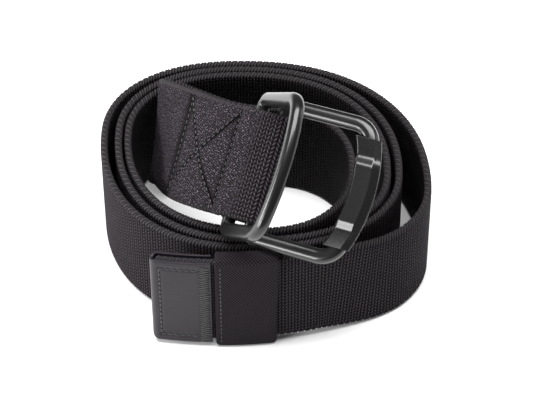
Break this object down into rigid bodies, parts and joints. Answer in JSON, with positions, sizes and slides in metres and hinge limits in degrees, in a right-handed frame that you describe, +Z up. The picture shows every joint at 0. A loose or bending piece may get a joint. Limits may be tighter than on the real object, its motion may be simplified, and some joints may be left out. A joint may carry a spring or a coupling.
{
  "type": "webbing belt",
  "caption": "Coiled stretch-webbing belt with a metal ring buckle, a sliding fabric keeper and a folded leather cover on its free end.",
  "frame": {"origin": "centre of the belt's bounding box, at the height of the surface that the coil stands on", "axes": "+Z up across the webbing's width, -Y towards the front, where the free end with its cover and keeper lies; +X to the right"},
  "size_m": [0.1148, 0.11, 0.0933],
  "materials": {
    "webbing": "coarse ribbed weave, matt",
    "ring_metal": "satin black",
    "plate_metal": "satin black with polished edges",
    "tip_leather": "smooth, soft sheen",
    "keeper_fabric": "fine diagonal twill, matt",
    "thread": "twisted sewing thread, matt"
  },
  "bodies": {
    "belt": {"strap": "webbing", "tip_cover": "tip_leather", "box_thread": "thread", "tip_thread": "thread", "bartack_thread": "thread"},
    "plain_ring_body": {"plain_ring": "ring_metal"},
    "plate_ring_body": {"plate_ring": "ring_metal", "name_plate": "plate_metal"},
    "keeper_body": {"keeper": "keeper_fabric", "keeper_thread": "thread"}
  },
  "joints": [
    {"name": "plain_ring_hinge", "type": "hinge", "parent": "belt", "child": "plain_ring_body", "pos_m": [-0.0061, -0.0164, 0.0579], "axis": [-0.2943, -0.736, -0.6097], "range_deg": [-7, 85]},
    {"name": "plate_ring_hinge", "type": "hinge", "parent": "belt", "child": "plate_ring_body", "pos_m": [0.00133, -0.02035, 0.05908], "axis": [-0.2943, -0.736, -0.6097], "range_deg": [0, 20]},
    {"name": "keeper_slide", "type": "hinge", "parent": "belt", "child": "keeper_body", "pos_m": [-0.0149, 0.09013, 0], "axis": [0, 0, 1], "range_deg": [0, 4.5]}
  ]
}
